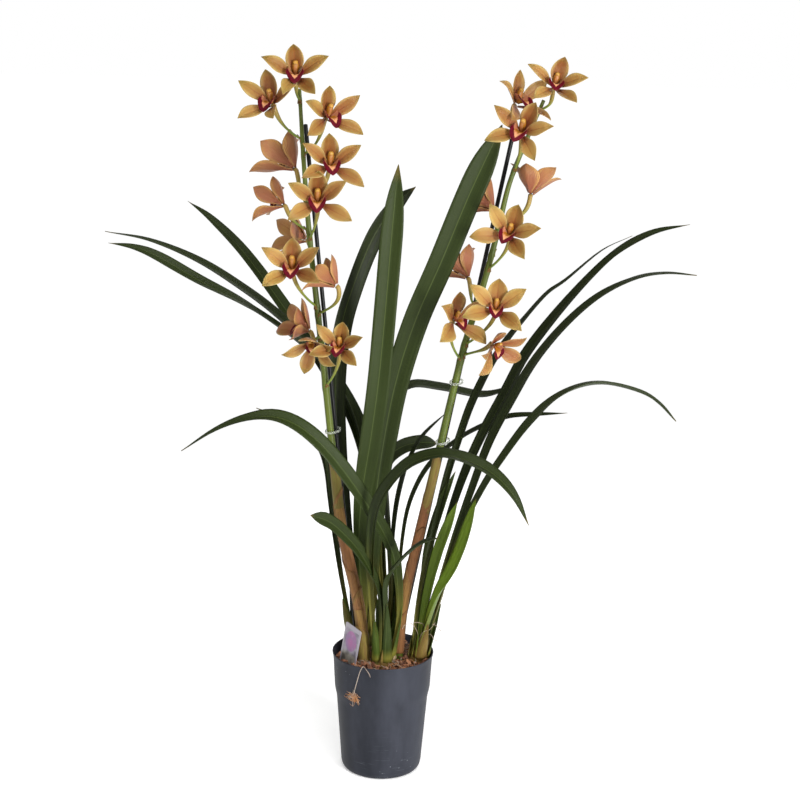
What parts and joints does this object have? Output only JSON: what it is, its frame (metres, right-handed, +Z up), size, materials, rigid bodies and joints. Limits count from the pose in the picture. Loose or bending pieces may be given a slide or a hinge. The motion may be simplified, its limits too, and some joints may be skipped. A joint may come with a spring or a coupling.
{
  "type": "potted orchid",
  "caption": "Cymbidium orchid in a nursery pot: arching strap leaves from bulbs in bark, two staked flower spikes of open blooms with ochre tepals and dark red lips.",
  "frame": {"origin": "centre of the pot's flat underside", "axes": "+Z up along the pot's axis; +X to the side that the right flower spike leans to; -Y towards the side the blooms face"},
  "size_m": [0.6623, 0.2765, 0.8442],
  "materials": {
    "pot_plastic": "slightly glossy moulded slate grey plastic with dust and fine scuffs",
    "bark": "rough chopped bark with coir, red brown",
    "leaf": "satin strap leaf, dark olive green, paler where lit, with fine ribs",
    "spike": "smooth fleshy stem, yellow green",
    "sheath": "dry papery bract, tan to red brown with lengthwise veins",
    "stake": "black plastic-coated stake",
    "tie": "clear to whitish plastic tie",
    "label_card": "printed plastic label, pink over grey, plain with no text",
    "dry_root": "dry aerial root and coir strands",
    "tepal": "waxy petal, ochre to greenish gold with rosy veins",
    "lip": "velvety maroon lip with a cream centre and an ochre column"
  },
  "bodies": {
    "root": {"bloom_left_01": "tepal", "bloom_left_02": "tepal", "bloom_left_03": "tepal", "bloom_left_04_07": "tepal", "bloom_left_05": "tepal", "bloom_left_06": "tepal", "bloom_left_08": "tepal", "bloom_left_09": "tepal", "bloom_left_10": "tepal", "bloom_left_11": "tepal", "bloom_left_12_13": "tepal", "bloom_right_01": "tepal", "bloom_right_02_03": "tepal", "bloom_right_04": "tepal", "bloom_right_05": "tepal", "bloom_right_06": "tepal", "bloom_right_07": "tepal", "bloom_right_08": "tepal", "bloom_right_09": "tepal", "bloom_right_10": "tepal", "growth_back": "leaf", "growth_centre": "leaf", "growth_left": "leaf", "growth_right": "leaf", "lip_left_01": "lip", "lip_left_02": "lip", "lip_left_03": "lip", "lip_left_04": "lip", "lip_left_05": "lip", "lip_left_06": "lip", "lip_left_07": "lip", "lip_left_08": "lip", "lip_left_09": "lip", "lip_left_10": "lip", "lip_left_11": "lip", "lip_left_12": "lip", "lip_left_13": "lip", "lip_right_01": "lip", "lip_right_02": "lip", "lip_right_03": "lip", "lip_right_04": "lip", "lip_right_05": "lip", "lip_right_06": "lip", "lip_right_07": "lip", "lip_right_08": "lip", "lip_right_09": "lip", "lip_right_10": "lip", "loose_root": "dry_root", "plant_label": "label_card", "pot": "pot_plastic", "potting_bark": "bark", "sheaths_left": "sheath", "sheaths_right": "sheath", "spike_left": "spike", "spike_right": "spike", "stake_left": "stake", "stake_right": "stake", "tie_left": "tie", "tie_right": "tie", "tie_right_top": "tie"}
  },
  "joints": []
}
